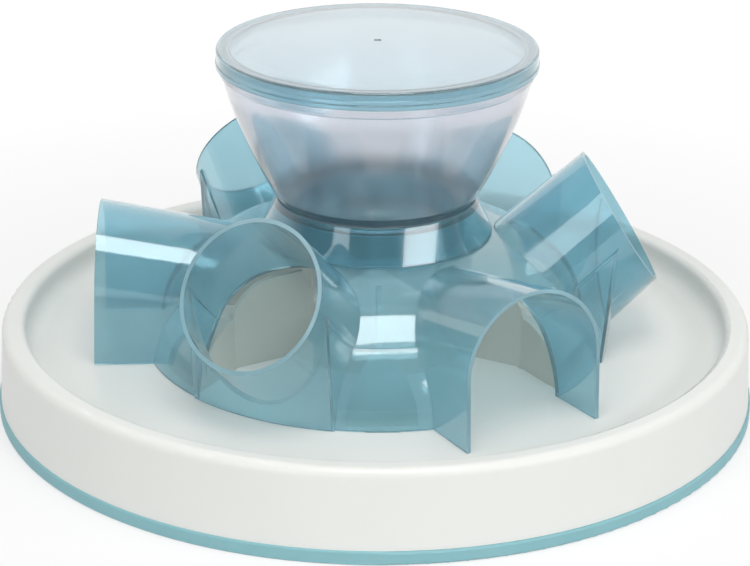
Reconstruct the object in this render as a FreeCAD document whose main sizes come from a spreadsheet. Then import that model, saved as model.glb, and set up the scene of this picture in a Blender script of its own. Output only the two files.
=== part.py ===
import FreeCAD, Part
import math
import os
import Sketcher

# Cat puzzle feeder: a white tray on a rubber ring, a translucent hood with three low tunnels and three
# raised tubes around it, and a hopper bowl with a snap lid plugged into the top of the hood.
# The origin is the centre of the underside, +Z is up, and millimetres are used throughout.
# The raised tubes point along 0, 120 and 240 degrees from +X, the arch tunnels along 60, 180 and 300.

# Every size that can be set by itself. The heights of the divider, the hood and its tunnels count from
# the tray floor, and the bowl's from its own foot.
SIZES = {
    # Rubber ring and tray
    "base_diameter": 390.0,
    "ring_height": 7.0,
    "ring_width": 7.5,
    "ring_round": 1.2,
    "ring_proud": 1.0,
    "tongue_depth": 4.5,
    "tongue_thickness": 1.5,
    "tongue_clearance": 0.2,
    "tray_height": 46.0,
    "tray_floor": 30.0,
    "tray_wall": 2.5,
    "tray_lean": 2.0,
    "rim_width": 12.0,
    "rim_outer_round": 4.5,
    "rim_inner_round": 3.0,
    "floor_round": 9.0,
    "tray_rib_depth": 5.0,
    "tray_rib_thickness": 2.0,
    "tray_hub_radius": 60.0,
    "tray_stiffener_radius": 134.0,
    # Chamber divider
    "chamber_half_width": 40.5,
    "divider_wall": 2.5,
    "divider_radius": 112.0,
    "pillar_round": 27.0,
    "fin_height": 45.0,
    "fin_crest_radius": 60.0,
    "fin_head_radius": 44.0,
    "fin_neck_radius": 38.0,
    "fin_neck_height": 31.0,
    "cone_height": 38.0,
    "cone_radius": 50.0,
    "cone_tip_round": 8.0,
    "peg_radius": 2.5,
    "peg_length": 6.0,
    "peg_inset": 1.0,
    "peg_clearance": 0.3,
    # Hood
    "hood_wall": 2.0,
    "hood_gap": 0.3,
    "hood_foot_radius": 119.0,
    "hood_shoulder_radius": 102.8,
    "hood_shoulder_height": 36.2,
    "hood_side_arc": 60.0,
    "hood_step": 1.5,
    "hood_top_radius": 52.0,
    "hood_top_height": 60.0,
    "neck_height": 12.5,
    "neck_clearance": 0.4,
    "tab_width": 16.0,
    "tab_depth": 5.0,
    "tab_thickness": 1.8,
    "tab_inset": 0.6,
    "tab_clearance": 0.4,
    # Arch tunnels
    "arch_half_width": 38.0,
    "arch_crown_height": 74.0,
    "arch_mouth_distance": 143.0,
    "arch_mouth_lean": 2.0,
    "arch_roof_slope": 9.6,
    "arch_draft": 1.4,
    "arch_inner_distance": 58.0,
    # Raised tubes
    "tube_radius": 37.0,
    "tube_draft": 2.5,
    "tube_tilt": 43.3,
    "tube_mouth_tilt": 31.9,
    "tube_mouth_distance": 124.6,
    "tube_mouth_height": 66.1,
    "housing_half_width": 39.0,
    "housing_front_radius": 120.3,
    "housing_front_lean": 5.0,
    # Collar, bowl and lid
    "collar_gap": 0.3,
    "collar_foot_radius": 59.5,
    "collar_top_radius": 51.0,
    "collar_height": 17.5,
    "collar_wall": 2.0,
    "seat_drop": 2.0,
    "seat_fit": 0.1,
    "seat_lead": 1.6,
    "bowl_wall": 2.0,
    "bowl_foot_radius": 48.7,
    "bowl_rim_radius": 78.6,
    "bowl_height": 78.5,
    "bowl_lip_height": 12.0,
    "bowl_lip_proud": 1.0,
    "bowl_side_arc": 230.0,
    "bowl_floor_drop": 5.0,
    "bowl_floor_flare": 2.0,
    "spigot_radius": 43.0,
    "spigot_length": 22.0,
    "spigot_wall": 2.5,
    "bead_height": 0.9,
    "bead_proud": 0.5,
    "lid_clearance": 0.3,
    "lid_wall": 1.5,
    "lid_skirt": 8.7,
    "lid_bead_height": 2.2,
    "lid_bead_proud": 0.4,
    "lid_edge_round": 1.2,
    "lid_panel_radius": 66.0,
    "lid_panel_rise": 0.8,
    "lid_crown": 1.8,
    "lid_plug_depth": 4.0,
    "lid_plug_width": 1.6,
    "lid_mark_radius": 2.0,
    "lid_mark_depth": 0.5,
}

TUNNEL_PITCH = 120.0
LOCATOR_ANGLE = 30.0
RIB_SWING = 15.0
RIB_COUNT = 12
CHAMBER_COUNT = 6
LOCATOR_COUNT = 3

doc = FreeCAD.newDocument("cat_puzzle_feeder")
sheet = doc.addObject("Spreadsheet::Sheet", "dims")
for row, (alias, size) in enumerate(SIZES.items(), start=1):
    sheet.set(f"A{row}", alias)
    sheet.set(f"B{row}", str(size))
    sheet.setAlias(f"B{row}", alias)
doc.recompute()

# Places that several pieces share, as expressions on the sheet.
RING_R = "(dims.base_diameter / 2)"
TRAY_FOOT_R = f"({RING_R} - dims.ring_proud)"
TRAY_TOP_R = f"({TRAY_FOOT_R} - dims.tray_lean)"
RIM_IN_R = f"({TRAY_TOP_R} - dims.rim_width)"
FLOOR_R = f"({RIM_IN_R} - dims.floor_round)"
FLOOR = "dims.tray_floor"
UNDER_FLOOR = "(dims.tray_floor - dims.tray_wall)"
HOOD_FOOT = "(dims.tray_floor + dims.hood_gap)"
HOOD_TOP = "(dims.tray_floor + dims.hood_top_height)"
SHOULDER = "(dims.tray_floor + dims.hood_shoulder_height)"
NECK_IN_R = "(dims.spigot_radius + dims.neck_clearance)"
NECK_OUT_R = f"({NECK_IN_R} + dims.hood_wall)"
COLLAR_FOOT = f"({HOOD_TOP} + dims.collar_gap)"
COLLAR_TOP = f"({COLLAR_FOOT} + dims.collar_height)"
BOWL_FOOT = f"({COLLAR_TOP} - dims.seat_drop)"
BOWL_RIM = f"({BOWL_FOOT} + dims.bowl_height)"
TAB_IN_R = "(dims.hood_foot_radius - dims.tab_inset - dims.tab_thickness)"
PEG_R = "((dims.chamber_half_width + dims.divider_wall) * 2 - dims.peg_inset)"

# How far a cutter runs past what it cuts, and a distance beyond everything.
PAST = 1.0
FAR = 400.0


def value(expression):
    """The number that an expression on the sheet stands for."""
    return float(sheet.evalExpression(str(expression)))


def new_body(label, angle=0.0):
    """A body, turned about Z by an angle in degrees."""
    body = doc.addObject("PartDesign::Body", label)
    body.Label = label
    body.Placement = FreeCAD.Placement(FreeCAD.Vector(0, 0, 0), FreeCAD.Rotation(FreeCAD.Vector(0, 0, 1), angle))
    return body


def origin_part(body, role):
    """One of the body's own origin planes or axes."""
    return next(item for item in body.Origin.OriginFeatures if item.Role == role)


def attach(body, name, role, offset=None, tilt=None, swing=0.0):
    """A sketch on an origin plane, moved by expressions along the plane's own axes. An upright plane
    can be tilted to look upwards, or swung about Z by an angle in degrees."""
    sketch = body.newObject("Sketcher::SketchObject", name)
    sketch.AttachmentSupport = [(origin_part(body, role), "")]
    sketch.MapMode = "FlatFace"
    turn = FreeCAD.Rotation(FreeCAD.Vector(0, 1, 0), swing)
    if tilt is not None:
        turn = FreeCAD.Rotation(FreeCAD.Vector(-1, 0, 0), value(tilt))
    sketch.AttachmentOffset = FreeCAD.Placement(FreeCAD.Vector(0, 0, 0), turn)
    if tilt is not None:
        sketch.setExpression(".AttachmentOffset.Rotation.Angle", tilt)
    for axis, expression in (offset or {}).items():
        sketch.setExpression(f".AttachmentOffset.Base.{axis}", expression)
    return sketch


def bind(sketch, constraint, expression):
    """Add a constraint and tie its value to the sheet."""
    index = sketch.addConstraint(constraint)
    sketch.setExpression(f"Constraints[{index}]", str(expression))


def side(start, end, radius):
    """A straight or round side, and which of its own ends is the start and which the end."""
    if radius is None:
        return Part.LineSegment(start, end), 1, 2
    size = abs(value(radius))
    turn = math.copysign(1.0, value(radius))
    chord = end - start
    middle = (start + end) / 2
    reach = math.sqrt(max(size ** 2 - (chord.Length / 2) ** 2, 0.0))
    left = FreeCAD.Vector(-chord.y, chord.x, 0).normalize()
    centre = middle + left * reach * turn
    first, last = (start, end) if turn > 0 else (end, start)
    angles = [math.atan2(point.y - centre.y, point.x - centre.x) for point in (first, last)]
    if angles[1] < angles[0]:
        angles[1] += 2 * math.pi
    arc = Part.ArcOfCircle(Part.Circle(centre, FreeCAD.Vector(0, 0, 1), size), angles[0], angles[1])
    return (arc, 1, 2) if turn > 0 else (arc, 2, 1)


def outline(body, name, role, corners, offset=None, swing=0.0):
    """A closed outline. A corner is (x, y) or (x, y, radius). A radius makes the side that arrives at
    the corner an arc, turning left when it is positive and right when it is negative."""
    sketch = attach(body, name, role, offset, swing=swing)
    points = [FreeCAD.Vector(value(corner[0]), value(corner[1]), 0) for corner in corners]
    ends = []
    for index, corner in enumerate(corners):
        radius = corner[2] if len(corner) == 3 else None
        shape, first, last = side(points[index - 1], points[index], radius)
        number = sketch.addGeometry(shape)
        ends.append((number, first, last))
        if radius is not None:
            bind(sketch, Sketcher.Constraint("Radius", number, abs(value(radius))), f"abs({radius})")
    for index, corner in enumerate(corners):
        number, _, last = ends[index]
        following, first, _ = ends[(index + 1) % len(ends)]
        sketch.addConstraint(Sketcher.Constraint("Coincident", number, last, following, first))
        bind(sketch, Sketcher.Constraint("DistanceX", -1, 1, number, last, points[index].x), corner[0])
        bind(sketch, Sketcher.Constraint("DistanceY", -1, 1, number, last, points[index].y), corner[1])
    return sketch


def disc(body, name, role, radius, centre=("0", "0"), offset=None, tilt=None):
    """A circle whose centre is a pair of expressions."""
    sketch = attach(body, name, role, offset, tilt)
    middle = FreeCAD.Vector(value(centre[0]), value(centre[1]), 0)
    number = sketch.addGeometry(Part.Circle(middle, FreeCAD.Vector(0, 0, 1), value(radius)))
    bind(sketch, Sketcher.Constraint("Radius", number, value(radius)), radius)
    bind(sketch, Sketcher.Constraint("DistanceX", -1, 1, number, 3, middle.x), centre[0])
    bind(sketch, Sketcher.Constraint("DistanceY", -1, 1, number, 3, middle.y), centre[1])
    return sketch


def turned(body, name, corners, kind="Revolution"):
    """A full turn of an outline in the XZ plane about Z: material, or a cut when kind is Groove."""
    feature = body.newObject(f"PartDesign::{kind}", name)
    feature.Profile = outline(body, f"{name}_outline", "XZ_Plane", corners)
    feature.ReferenceAxis = (feature.Profile[0], ["V_Axis"])
    feature.Angle = 360.0
    return feature


def pushed(body, name, sketch, length, kind="Pad", both=False, back=False, draft=None):
    """A pad, or a pocket, of a given length from a sketch. A draft, in degrees, widens it on its way, or
    narrows it when it is negative."""
    feature = body.newObject(f"PartDesign::{kind}", name)
    feature.Profile = sketch
    feature.Length = value(length)
    feature.setExpression("Length", str(length))
    feature.Midplane = both
    feature.Reversed = back
    if draft is not None:
        feature.TaperAngle = value(draft)
        feature.setExpression("TaperAngle", draft)
    return feature


def repeated(body, name, feature, count):
    """The feature repeated round the Z axis."""
    pattern = body.newObject("PartDesign::PolarPattern", name)
    pattern.Originals = [feature]
    pattern.Axis = (origin_part(body, "Z_Axis"), [""])
    pattern.Angle = 360.0
    pattern.Occurrences = count
    body.Tip = pattern
    return pattern


def boolean(kind, label, base, tool):
    """A boolean of two objects."""
    result = doc.addObject(f"Part::{kind}", label)
    result.Base = base
    result.Tool = tool
    return result


def fused(label, pieces):
    """Several objects as one."""
    result = doc.addObject("Part::MultiFuse", label)
    result.Shapes = pieces
    return result


def make_non_slip_ring():
    """Soft ring that the tray stands on: a groove in its top holds the tongue of the tray wall."""
    body = new_body("non_slip_ring")
    tongue_in = f"({TRAY_FOOT_R} - dims.tray_wall)"
    groove_in = f"({tongue_in} - dims.tongue_clearance)"
    groove_out = f"({tongue_in} + dims.tongue_thickness + dims.tongue_clearance)"
    groove_foot = "(dims.ring_height - dims.tongue_depth - dims.tongue_clearance)"
    inner = f"({RING_R} - dims.ring_width)"
    turned(body, "ring_section", [
        (inner, "0"),
        (f"{RING_R} - dims.ring_round", "0"),
        (RING_R, "dims.ring_round", "dims.ring_round"),
        (RING_R, "dims.ring_height - dims.ring_round"),
        (f"{RING_R} - dims.ring_round", "dims.ring_height", "dims.ring_round"),
        (groove_out, "dims.ring_height"),
        (groove_out, groove_foot),
        (groove_in, groove_foot),
        (groove_in, "dims.ring_height"),
        (inner, "dims.ring_height"),
    ])
    return body


def make_base_tray():
    """Tray moulded as one shell: outer wall, rolled rim, inner wall and raised floor, with ribs below."""
    body = new_body("base_tray", LOCATOR_ANGLE)
    wall = "dims.tray_wall"
    tongue_in = f"({TRAY_FOOT_R} - {wall})"
    tongue_foot = "(dims.ring_height - dims.tongue_depth)"
    rim_z = "(dims.tray_height - dims.rim_outer_round)"
    lip_z = "(dims.tray_height - dims.rim_inner_round)"
    bend_z = f"({FLOOR} + dims.floor_round)"
    turned(body, "tray_shell", [
        (TRAY_FOOT_R, "dims.ring_height"),
        (TRAY_TOP_R, rim_z),
        (f"{TRAY_TOP_R} - dims.rim_outer_round", "dims.tray_height", "dims.rim_outer_round"),
        (f"{RIM_IN_R} + dims.rim_inner_round", "dims.tray_height"),
        (RIM_IN_R, lip_z, "dims.rim_inner_round"),
        (RIM_IN_R, bend_z),
        (FLOOR_R, FLOOR, "-dims.floor_round"),
        ("0", FLOOR),
        ("0", UNDER_FLOOR),
        (FLOOR_R, UNDER_FLOOR),
        (f"{RIM_IN_R} + {wall}", bend_z, f"dims.floor_round + {wall}"),
        (f"{RIM_IN_R} + {wall}", f"dims.tray_height - {wall}"),
        (f"{TRAY_TOP_R} - dims.rim_outer_round", f"dims.tray_height - {wall}"),
        (f"{TRAY_TOP_R} - {wall}", rim_z, f"-(dims.rim_outer_round - {wall})"),
        (tongue_in, "dims.ring_height"),
        (tongue_in, tongue_foot),
        (f"{tongue_in} + dims.tongue_thickness", tongue_foot),
        (f"{tongue_in} + dims.tongue_thickness", "dims.ring_height"),
    ])
    rib_foot = f"({UNDER_FLOOR} - dims.tray_rib_depth)"
    rib_head = f"({FLOOR} - {wall} / 2)"
    half = "dims.tray_rib_thickness / 2"
    for name, radius in (("hub_rib", "dims.tray_hub_radius"), ("stiffener_rib", "dims.tray_stiffener_radius")):
        turned(body, name, [
            (f"{radius} - {half}", rib_foot),
            (f"{radius} + {half}", rib_foot),
            (f"{radius} + {half}", rib_head),
            (f"{radius} - {half}", rib_head),
        ])
    wall_mid = f"({RIM_IN_R} + {wall} / 2)"
    rib_out = f"({TRAY_TOP_R} - {wall} / 2)"
    rib = outline(body, "radial_rib_outline", "XZ_Plane", [
        ("dims.tray_hub_radius", rib_foot),
        (rib_out, rib_foot),
        (rib_out, bend_z),
        (wall_mid, bend_z),
        (FLOOR_R, rib_head, f"-(dims.floor_round + {wall} / 2)"),
        ("dims.tray_hub_radius", rib_head),
    ], swing=RIB_SWING)
    radial = pushed(body, "radial_rib", rib, "dims.tray_rib_thickness", both=True)
    repeated(body, "radial_ribs", radial, RIB_COUNT)
    slot_in = f"({TAB_IN_R} - dims.tab_clearance)"
    slot_out = f"({TAB_IN_R} + dims.tab_thickness + dims.tab_clearance)"
    slot_half = "(dims.tab_width / 2 + dims.tab_clearance)"
    slot = outline(body, "tab_slot_outline", "YZ_Plane", [
        (f"-{slot_half}", f"{UNDER_FLOOR} - {PAST}"),
        (slot_half, f"{UNDER_FLOOR} - {PAST}"),
        (slot_half, f"{FLOOR} + {PAST}"),
        (f"-{slot_half}", f"{FLOOR} + {PAST}"),
    ], offset={"z": slot_out})
    tab_slot = pushed(body, "tab_slot", slot, f"{slot_out} - {slot_in}", kind="Pocket")
    repeated(body, "tab_slots", tab_slot, LOCATOR_COUNT)
    hole = disc(body, "peg_hole_outline", "XY_Plane", "dims.peg_radius + dims.peg_clearance",
                centre=(f"-{PEG_R}", "0"), offset={"z": f"{FLOOR} + {PAST}"})
    peg_hole = pushed(body, "peg_hole", hole, f"{wall} + {PAST} * 2", kind="Pocket")
    repeated(body, "peg_holes", peg_hole, LOCATOR_COUNT)
    return body


def make_chamber_divider():
    """White insert: six hollow pillars, a fin from each towards the middle, and the spreader cone."""
    crest = f"({FLOOR} + dims.fin_height)"
    pillar_top = f"({FLOOR} + dims.pillar_round)"
    pillar_r = "(dims.divider_radius - dims.pillar_round)"
    run = f"({pillar_r} - dims.fin_crest_radius)"
    rise = "(dims.fin_height - dims.pillar_round)"
    solid = new_body("divider_solid")
    turned(solid, "divider_envelope", [
        ("dims.fin_neck_radius", FLOOR),
        ("dims.divider_radius", FLOOR),
        (pillar_r, pillar_top, "dims.pillar_round"),
        ("dims.fin_crest_radius", crest, f"({run} ^ 2 + {rise} ^ 2) / (2 * {rise})"),
        ("dims.fin_head_radius", crest),
        ("dims.fin_neck_radius", f"{FLOOR} + dims.fin_neck_height"),
    ])
    half = "dims.chamber_half_width"
    fin_end = f"(({half} + dims.divider_wall / 2 / cos(30)) / tan(30))"
    outer = f"(dims.divider_radius + {PAST})"
    chamber = outline(solid, "chamber_outline", "XY_Plane", [
        ("dims.divider_wall", "0"),
        (fin_end, f"-{half}"),
        (outer, f"-{half}"),
        (outer, half),
        (fin_end, half),
    ], offset={"z": f"{crest} + {PAST}"})
    cut = pushed(solid, "chamber", chamber, f"dims.fin_height + {PAST} * 2", kind="Pocket")
    repeated(solid, "chambers", cut, CHAMBER_COUNT)
    slope = "atan(dims.cone_height / dims.cone_radius)"
    tip_r = f"(dims.cone_tip_round * sin({slope}))"
    tip_z = f"({FLOOR} + dims.cone_height - dims.cone_tip_round * (1 - cos({slope})))"
    turned(solid, "spreader_cone", [
        ("0", FLOOR),
        ("dims.cone_radius", FLOOR),
        (tip_r, tip_z),
        ("0", f"{FLOOR} + dims.cone_height", "dims.cone_tip_round"),
    ])
    hollow_r = f"(dims.cone_radius - dims.divider_wall / sin({slope}))"
    turned(solid, "cone_hollow", [
        ("0", f"{FLOOR} - {PAST}"),
        (f"{hollow_r} + {PAST} / tan({slope})", f"{FLOOR} - {PAST}"),
        ("0", f"{FLOOR} + {hollow_r} * tan({slope})"),
    ], kind="Groove")
    peg = disc(solid, "peg_outline", "XY_Plane", "dims.peg_radius",
               centre=(f"-{PEG_R} * cos(30)", f"-{PEG_R} * sin(30)"), offset={"z": FLOOR})
    first_peg = pushed(solid, "peg", peg, "dims.peg_length", back=True)
    repeated(solid, "pegs", first_peg, LOCATOR_COUNT)
    inset = f"({half} + dims.divider_wall)"
    wedge_far = outer
    wedge_half = f"(({wedge_far} * sin(30) - {inset}) / cos(30))"
    wedge = new_body("pillar_wedge", 30.0)
    wedge_plan = outline(wedge, "wedge_outline", "XY_Plane", [
        (f"{inset} * 2", "0"),
        (wedge_far, f"-{wedge_half}"),
        (wedge_far, wedge_half),
    ], offset={"z": f"{FLOOR} - {PAST}"})
    block = pushed(wedge, "wedge", wedge_plan, f"dims.pillar_round + {PAST}")
    repeated(wedge, "wedges", block, CHAMBER_COUNT)
    inner_round = "(dims.pillar_round - dims.divider_wall)"
    roof = new_body("pillar_roof")
    turned(roof, "roof", [
        (half, f"{FLOOR} - {PAST}"),
        (f"{pillar_r} + {inner_round}", f"{FLOOR} - {PAST}"),
        (f"{pillar_r} + {inner_round}", FLOOR),
        (pillar_r, f"{FLOOR} + {inner_round}", inner_round),
        (half, f"{FLOOR} + {inner_round}"),
    ])
    hollows = boolean("Common", "pillar_hollows", wedge, roof)
    return boolean("Cut", "chamber_divider", solid, hollows)


def trim_foot(body, level):
    """Cut away everything below a level."""
    plan = outline(body, "foot_outline", "XY_Plane", [
        (-FAR, -FAR),
        (FAR, -FAR),
        (FAR, FAR),
        (-FAR, FAR),
    ], offset={"z": level})
    pushed(body, "foot", plan, FAR, kind="Pocket")


def arch_solid(label, angle, inset):
    """Tunnel with upright walls and a round roof, which narrows and falls towards the middle, as one solid.
    An inset makes the inner solid, which runs past the mouth and the foot."""
    body = new_body(label, angle)
    ahead = "dims.arch_half_width"
    half = f"(dims.arch_half_width - {inset} + {ahead} * tan(dims.arch_draft))"
    spring = f"({FLOOR} + dims.arch_crown_height - dims.arch_half_width)"
    start = f"(dims.arch_mouth_distance + {ahead})"
    face = outline(body, "arch_outline", "YZ_Plane", [
        (f"-{half}", "0"),
        (half, "0"),
        (half, spring),
        ("0", f"{spring} + {half}", half),
        (f"-{half}", spring, half),
    ], offset={"z": start, "y": f"{ahead} * tan(dims.arch_roof_slope)"})
    barrel = pushed(body, "arch", face, f"{start} - dims.arch_inner_distance", draft="-dims.arch_draft")
    slope = math.radians(value("dims.arch_roof_slope"))
    barrel.UseCustomVector = True
    barrel.Direction = FreeCAD.Vector(-math.cos(slope), 0, -math.sin(slope))
    barrel.AlongSketchNormal = True
    trim_foot(body, f"({HOOD_FOOT} - {inset})")
    if value(inset) == 0.0:
        lean = "tan(dims.arch_mouth_lean)"
        top = f"({FLOOR} + dims.arch_crown_height + {ahead})"
        mouth = outline(body, "mouth_outline", "XZ_Plane", [
            (f"dims.arch_mouth_distance + {PAST} * {lean}", f"{HOOD_FOOT} - {PAST}"),
            (FAR, f"{HOOD_FOOT} - {PAST}"),
            (FAR, top),
            (f"dims.arch_mouth_distance - ({top} - {HOOD_FOOT}) * {lean}", top),
        ])
        pushed(body, "mouth", mouth, FAR, kind="Pocket", both=True)
    return body


def tube_solid(label, angle, inset):
    """Slanting tube, wider towards its root, on a housing with upright sides and a leaning round front.
    It is one solid, and an inset makes the inner one, which runs past the mouth and the foot."""
    body = new_body(label, angle)
    foot = f"({HOOD_FOOT} - {inset})"
    mouth_z = f"({FLOOR} + dims.tube_mouth_height)"
    top = f"({mouth_z} - {inset} / cos(dims.tube_tilt))"
    block = outline(body, "housing_outline", "XZ_Plane", [
        (f"dims.tube_mouth_distance - ({top} - {foot}) / tan(dims.tube_tilt)", foot),
        ("dims.tube_mouth_distance", foot),
        ("dims.tube_mouth_distance", top),
    ])
    pushed(body, "housing", block, f"(dims.housing_half_width - {inset}) * 2", both=True)
    front = f"(dims.housing_front_radius - {inset})"
    lean = "tan(dims.housing_front_lean)"
    turned(body, "housing_front", [
        (f"{front} - {PAST} * {lean}", f"{foot} - {PAST}"),
        (FAR, f"{foot} - {PAST}"),
        (FAR, f"{mouth_z} + {PAST}"),
        (f"{front} + ({mouth_z} + {PAST} - {foot}) * {lean}", f"{mouth_z} + {PAST}"),
    ], kind="Groove")
    ahead = "dims.tube_radius"
    ring = disc(body, "tube_outline", "YZ_Plane",
                f"dims.tube_radius - {inset} - {ahead} * tan(dims.tube_draft)",
                offset={"z": f"dims.tube_mouth_distance + {ahead} * cos(dims.tube_tilt)",
                        "y": f"{mouth_z} + {ahead} * sin(dims.tube_tilt)"},
                tilt="dims.tube_tilt")
    depth = f"({mouth_z} - {foot} + dims.housing_half_width) / sin(dims.tube_tilt)"
    pushed(body, "tube", ring, f"{ahead} + {depth}", back=True, draft="dims.tube_draft")
    trim_foot(body, foot)
    if value(inset) == 0.0:
        across = "(dims.tube_radius * 2)"
        sine, cosine = "sin(dims.tube_mouth_tilt)", "cos(dims.tube_mouth_tilt)"
        low_x = f"(dims.tube_mouth_distance + {across} * {sine})"
        low_z = f"({mouth_z} - {across} * {cosine})"
        high_x = f"(dims.tube_mouth_distance - {across} * {sine})"
        high_z = f"({mouth_z} + {across} * {cosine})"
        mouth = outline(body, "mouth_outline", "XZ_Plane", [
            (low_x, low_z),
            (f"{low_x} + {across} * {cosine}", f"{low_z} + {across} * {sine}"),
            (f"{high_x} + {across} * {cosine}", f"{high_z} + {across} * {sine}"),
            (high_x, high_z),
        ])
        pushed(body, "mouth", mouth, FAR, kind="Pocket", both=True)
    return body


def dome_arc(inset):
    """Radius of the dome's upper arc, level at the flat top and ending at the step above the side wall."""
    run = "(dims.hood_shoulder_radius - dims.hood_step - dims.hood_top_radius)"
    rise = "(dims.hood_top_height - dims.hood_shoulder_height)"
    return f"(({run} ^ 2 + {rise} ^ 2) / (2 * {rise}) - {inset})"


def dome_inside():
    """Corners of the dome's inner face: the foot, the end of the side wall and the edge of the flat top."""
    wall = "dims.hood_wall"
    run = "(dims.hood_shoulder_radius - dims.hood_step - dims.hood_top_radius)"
    outer = dome_arc("0")
    inner = dome_arc(wall)
    drop = f"({outer} - (dims.hood_top_height - dims.hood_shoulder_height))"
    return [
        (f"dims.hood_foot_radius - {wall}", HOOD_FOOT),
        (f"dims.hood_top_radius + {run} * {inner} / {outer}", f"{HOOD_TOP} - {outer} + {drop} * {inner} / {outer}"),
        ("dims.hood_top_radius", f"{HOOD_TOP} - {wall}"),
    ]


def make_dome_core():
    """The space inside the dome, which trims the inner ends of the tunnels."""
    body = new_body("dome_core")
    foot, bend, top = dome_inside()
    turned(body, "core", [
        ("0", UNDER_FLOOR),
        (foot[0], UNDER_FLOOR),
        foot,
        (*bend, "dims.hood_side_arc - dims.hood_wall"),
        (*top, dome_arc("dims.hood_wall")),
        ("0", top[1]),
    ])
    return body


def make_dome_shell():
    """Dome with its sloping wall, the step at the shoulder, the flat top and the neck."""
    body = new_body("dome_shell", LOCATOR_ANGLE)
    neck_top = f"({HOOD_TOP} + dims.neck_height)"
    foot, bend, top = dome_inside()
    turned(body, "dome", [
        (*foot, "-(dims.hood_side_arc - dims.hood_wall)"),
        ("dims.hood_foot_radius", HOOD_FOOT),
        ("dims.hood_shoulder_radius", SHOULDER, "dims.hood_side_arc"),
        ("dims.hood_shoulder_radius - dims.hood_step", SHOULDER),
        ("dims.hood_top_radius", HOOD_TOP, dome_arc("0")),
        (NECK_OUT_R, HOOD_TOP),
        (NECK_OUT_R, neck_top),
        (NECK_IN_R, neck_top),
        (NECK_IN_R, top[1]),
        top,
        (*bend, f"-{dome_arc('dims.hood_wall')}"),
    ])
    half = "(dims.tab_width / 2)"
    tab_foot = f"({HOOD_FOOT} - dims.tab_depth)"
    tab_head = f"({HOOD_FOOT} + dims.hood_wall)"
    face = outline(body, "tab_outline", "YZ_Plane", [
        (f"-{half}", tab_foot),
        (half, tab_foot),
        (half, tab_head),
        (f"-{half}", tab_head),
    ], offset={"z": TAB_IN_R})
    tab = pushed(body, "tab", face, "dims.tab_thickness")
    repeated(body, "tabs", tab, LOCATOR_COUNT)
    return body


def make_hood():
    """The dome with an opening for each tunnel, and the six tunnels that are joined to it."""
    shell = make_dome_shell()
    core = make_dome_core()
    tunnels = []
    solids = []
    places = (
        ("raised_tube_right", tube_solid, 0),
        ("raised_tube_rear", tube_solid, 1),
        ("raised_tube_front", tube_solid, 2),
        ("arch_tunnel_rear", arch_solid, 0.5),
        ("arch_tunnel_left", arch_solid, 1.5),
        ("arch_tunnel_front", arch_solid, 2.5),
    )
    for label, solid, place in places:
        angle = place * TUNNEL_PITCH
        outer = solid(f"{label}_outside", angle, "0")
        inner = solid(f"{label}_inside", angle, "dims.hood_wall")
        hollowed = boolean("Cut", f"{label}_wall", outer, inner)
        tunnels.append(boolean("Cut", label, hollowed, core))
        solids.append(outer)
    openings = fused("tunnel_openings", solids)
    dome = boolean("Cut", "hood_dome", shell, openings)
    return [dome] + tunnels


def make_bowl_collar():
    """Conical skirt with an inner flange. The bowl's foot sits in it, and its flange grips the spigot."""
    body = new_body("bowl_collar")
    wall = "dims.collar_wall"
    spigot = "(dims.spigot_radius + dims.seat_fit)"
    seat = f"({BOWL_FOOT} - {wall})"
    slope = "((dims.collar_foot_radius - dims.collar_top_radius) / dims.collar_height)"
    under_r = f"(dims.collar_top_radius - {wall} + ({COLLAR_TOP} - {seat}) * {slope})"
    turned(body, "collar", [
        (f"dims.collar_foot_radius - {wall}", COLLAR_FOOT),
        ("dims.collar_foot_radius", COLLAR_FOOT),
        ("dims.collar_top_radius", COLLAR_TOP),
        ("dims.bowl_foot_radius + dims.seat_lead", COLLAR_TOP),
        ("dims.bowl_foot_radius + dims.seat_fit", BOWL_FOOT),
        (spigot, BOWL_FOOT),
        (spigot, seat),
        (under_r, seat),
    ])
    return body


def make_food_bowl():
    """Hopper bowl: convex side, thicker lip for the lid, sloping floor and a round outlet spigot."""
    body = new_body("food_bowl")
    wall = "dims.bowl_wall"
    lip_z = f"({BOWL_RIM} - dims.bowl_lip_height)"
    side_r = "(dims.bowl_rim_radius - dims.bowl_lip_proud)"
    inner_foot = f"({BOWL_FOOT} + {wall} + dims.bowl_floor_drop)"
    bore = "(dims.spigot_radius - dims.spigot_wall)"
    bead_top = f"({BOWL_FOOT} - dims.collar_wall)"
    turned(body, "bowl", [
        (bore, f"{BOWL_FOOT} - dims.spigot_length"),
        ("dims.spigot_radius", f"{BOWL_FOOT} - dims.spigot_length"),
        ("dims.spigot_radius", f"{bead_top} - dims.bead_height"),
        ("dims.spigot_radius + dims.bead_proud", f"{bead_top} - dims.bead_height / 2"),
        ("dims.spigot_radius + dims.bead_proud", bead_top),
        ("dims.spigot_radius", bead_top),
        ("dims.spigot_radius", BOWL_FOOT),
        ("dims.bowl_foot_radius", BOWL_FOOT),
        (side_r, lip_z, "dims.bowl_side_arc"),
        ("dims.bowl_rim_radius", f"{lip_z} + dims.bowl_lip_proud"),
        ("dims.bowl_rim_radius", BOWL_RIM),
        (f"{side_r} - {wall}", BOWL_RIM),
        (f"{side_r} - {wall}", lip_z),
        ("dims.bowl_foot_radius + dims.bowl_floor_flare", inner_foot, f"-(dims.bowl_side_arc - {wall})"),
        (bore, BOWL_FOOT),
    ])
    return body


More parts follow.
